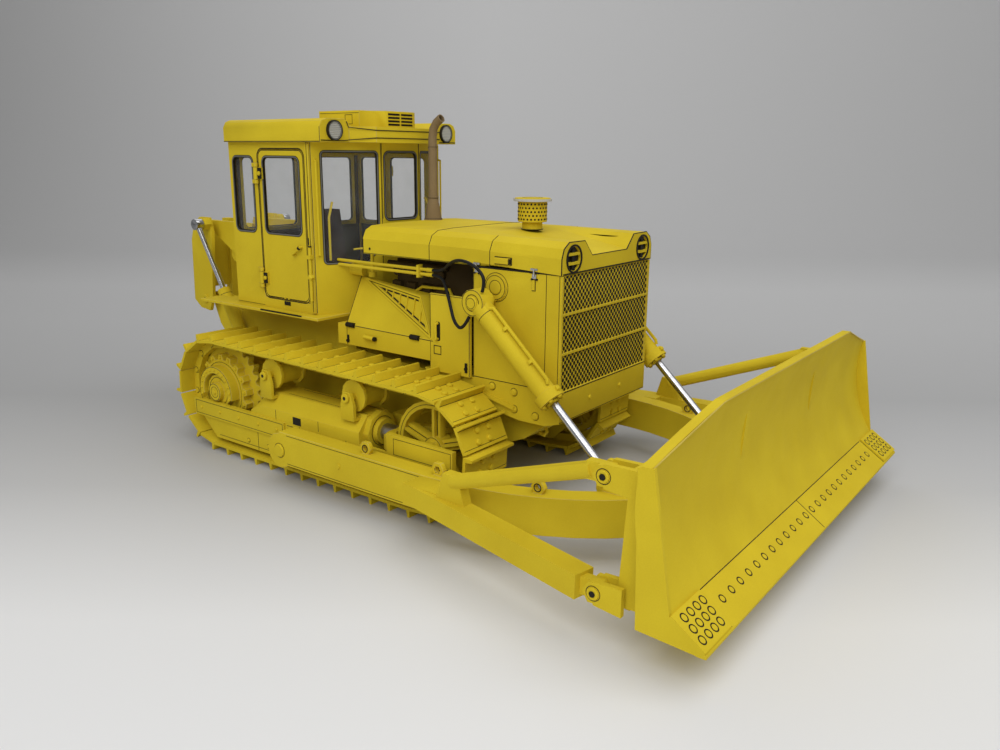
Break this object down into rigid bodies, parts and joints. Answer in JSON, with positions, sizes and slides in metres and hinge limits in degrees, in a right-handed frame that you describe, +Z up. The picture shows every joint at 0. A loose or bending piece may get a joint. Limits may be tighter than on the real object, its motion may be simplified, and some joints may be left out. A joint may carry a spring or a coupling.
{
  "type": "card scale model of a crawler bulldozer",
  "caption": "Card model of a crawler bulldozer with a cab, an angling blade lifted by two cylinders and a rear ripper.",
  "frame": {"origin": "on the floor under the middle of the overall length, between the blade's edge and the ripper, on the centre plane", "axes": "+X forward, towards the blade; +Y to the driver's left; +Z up"},
  "size_m": [0.2574, 0.1546, 0.121],
  "materials": {
    "yellow_card": "matt printed card",
    "chrome_rod": "bright drawn wire",
    "brown_card": "matt printed card",
    "dark_card": "matt black card",
    "seat_card": "matt dark red card",
    "lamp_foil": "grey printed lamp faces",
    "window_film": "clear film",
    "hose_rubber": "black insulated wire"
  },
  "bodies": {
    "tractor": {"air_conditioner": "yellow_card", "cab_floor": "yellow_card", "cab_front": "yellow_card", "cab_rear": "yellow_card", "cab_roof": "yellow_card", "cab_side_left": "yellow_card", "cab_side_right": "yellow_card", "dash": "dark_card", "drive_sprocket_left": "yellow_card", "drive_sprocket_right": "yellow_card", "engine": "dark_card", "exhaust": "brown_card", "fender_left": "yellow_card", "fender_right": "yellow_card", "front_glass": "window_film", "grille": "yellow_card", "headlamps": "lamp_foil", "hood": "yellow_card", "hose_lower_left": "hose_rubber", "hose_lower_right": "hose_rubber", "hose_upper_left": "hose_rubber", "hose_upper_right": "hose_rubber", "hull": "yellow_card", "idler_left": "yellow_card", "idler_right": "yellow_card", "idler_yoke_left": "yellow_card", "idler_yoke_right": "yellow_card", "nose_panel_left": "yellow_card", "nose_panel_right": "yellow_card", "pre_cleaner": "yellow_card", "quarter_glass_left": "window_film", "quarter_glass_right": "window_film", "rear_glass": "window_film", "ripper_bracket": "yellow_card", "roller_frame_left": "yellow_card", "roller_frame_right": "yellow_card", "roof_lamps": "lamp_foil", "seat": "seat_card", "track_left": "yellow_card", "track_right": "yellow_card"},
    "blade_assembly": {"blade": "yellow_card", "blade_frame": "yellow_card", "blade_arm_left": "yellow_card", "blade_arm_right": "yellow_card"},
    "door_left": {"door_left": "yellow_card", "door_glass_left": "window_film"},
    "door_right": {"door_right": "yellow_card", "door_glass_right": "window_film"},
    "lift_barrel_left": {"lift_barrel_left": "yellow_card"},
    "lift_barrel_right": {"lift_barrel_right": "yellow_card"},
    "lift_rod_left": {"lift_rod_left": "chrome_rod"},
    "lift_rod_right": {"lift_rod_right": "chrome_rod"},
    "ripper_lower_link": {"ripper_lower_link": "yellow_card"},
    "ripper_upper_link": {"ripper_upper_link": "yellow_card"},
    "ripper_carriage": {"ripper_carriage": "yellow_card"},
    "ripper_barrel_left": {"ripper_barrel_left": "yellow_card"},
    "ripper_barrel_right": {"ripper_barrel_right": "yellow_card"},
    "ripper_rod_left": {"ripper_rod_left": "chrome_rod"},
    "ripper_rod_right": {"ripper_rod_right": "chrome_rod"}
  },
  "joints": [
    {"name": "blade_lift", "type": "hinge", "parent": "tractor", "child": "blade_assembly", "pos_m": [-0.02885, 0, 0.0132], "axis": [0, -1, 0], "range_deg": [-7.5, 13]},
    {"name": "lift_barrel_swing_left", "type": "hinge", "parent": "tractor", "child": "lift_barrel_left", "pos_m": [0.03395, 0.0315, 0.0657], "axis": [0, -1, 0], "range_deg": [-9.48, 16.43]},
    {"name": "lift_rod_slide_left", "type": "slide", "parent": "lift_barrel_left", "child": "lift_rod_left", "axis": [0.7266, 0, -0.687], "range_m": [-0.01833, 0.01057]},
    {"name": "lift_barrel_swing_right", "type": "hinge", "parent": "tractor", "child": "lift_barrel_right", "pos_m": [0.03395, -0.0315, 0.0657], "axis": [0, -1, 0], "range_deg": [-9.48, 16.43]},
    {"name": "lift_rod_slide_right", "type": "slide", "parent": "lift_barrel_right", "child": "lift_rod_right", "axis": [0.7266, 0, -0.687], "range_m": [-0.01833, 0.01057]},
    {"name": "ripper_lift", "type": "hinge", "parent": "tractor", "child": "ripper_lower_link", "pos_m": [-0.09865, 0, 0.018], "axis": [0, -1, 0], "range_deg": [0, 52]},
    {"name": "ripper_carriage_pivot", "type": "hinge", "parent": "ripper_lower_link", "child": "ripper_carriage", "pos_m": [-0.12085, 0, 0.0483], "axis": [0, -1, 0], "range_deg": [-52.5, 0.5]},
    {"name": "ripper_upper_swing", "type": "hinge", "parent": "tractor", "child": "ripper_upper_link", "pos_m": [-0.09865, 0, 0.0477], "axis": [0, -1, 0], "range_deg": [-0.5, 52.5]},
    {"name": "ripper_barrel_swing_left", "type": "hinge", "parent": "tractor", "child": "ripper_barrel_left", "pos_m": [-0.08935, 0.0216, 0.033], "axis": [0, -1, 0], "range_deg": [0, 38.4]},
    {"name": "ripper_rod_slide_left", "type": "slide", "parent": "ripper_barrel_left", "child": "ripper_rod_left", "axis": [-0.5006, 0, 0.8657], "range_m": [-0.0074, 0]},
    {"name": "ripper_barrel_swing_right", "type": "hinge", "parent": "tractor", "child": "ripper_barrel_right", "pos_m": [-0.08935, -0.0216, 0.033], "axis": [0, -1, 0], "range_deg": [0, 38.4]},
    {"name": "ripper_rod_slide_right", "type": "slide", "parent": "ripper_barrel_right", "child": "ripper_rod_right", "axis": [-0.5006, 0, 0.8657], "range_m": [-0.0074, 0]},
    {"name": "door_swing_left", "type": "hinge", "parent": "tractor", "child": "door_left", "pos_m": [-0.06315, 0.0323, 0.083], "axis": [0, 0, 1], "range_deg": [0, 110]},
    {"name": "door_swing_right", "type": "hinge", "parent": "tractor", "child": "door_right", "pos_m": [-0.06315, -0.0323, 0.083], "axis": [0, 0, -1], "range_deg": [0, 110]}
  ],
  "couplings": [
    {"joint": "lift_barrel_swing_left", "follows": "blade_lift", "ratio": 1.239},
    {"joint": "lift_rod_slide_left", "follows": "blade_lift", "m_per_rad": -0.079179},
    {"joint": "lift_barrel_swing_right", "follows": "blade_lift", "ratio": 1.239},
    {"joint": "lift_rod_slide_right", "follows": "blade_lift", "m_per_rad": -0.079179},
    {"joint": "ripper_carriage_pivot", "follows": "ripper_lift", "ratio": -1},
    {"joint": "ripper_upper_swing", "follows": "ripper_lift", "ratio": 1},
    {"joint": "ripper_barrel_swing_left", "follows": "ripper_lift", "ratio": 0.72393},
    {"joint": "ripper_rod_slide_left", "follows": "ripper_lift", "m_per_rad": -0.007991},
    {"joint": "ripper_barrel_swing_right", "follows": "ripper_lift", "ratio": 0.72393},
    {"joint": "ripper_rod_slide_right", "follows": "ripper_lift", "m_per_rad": -0.007991}
  ]
}
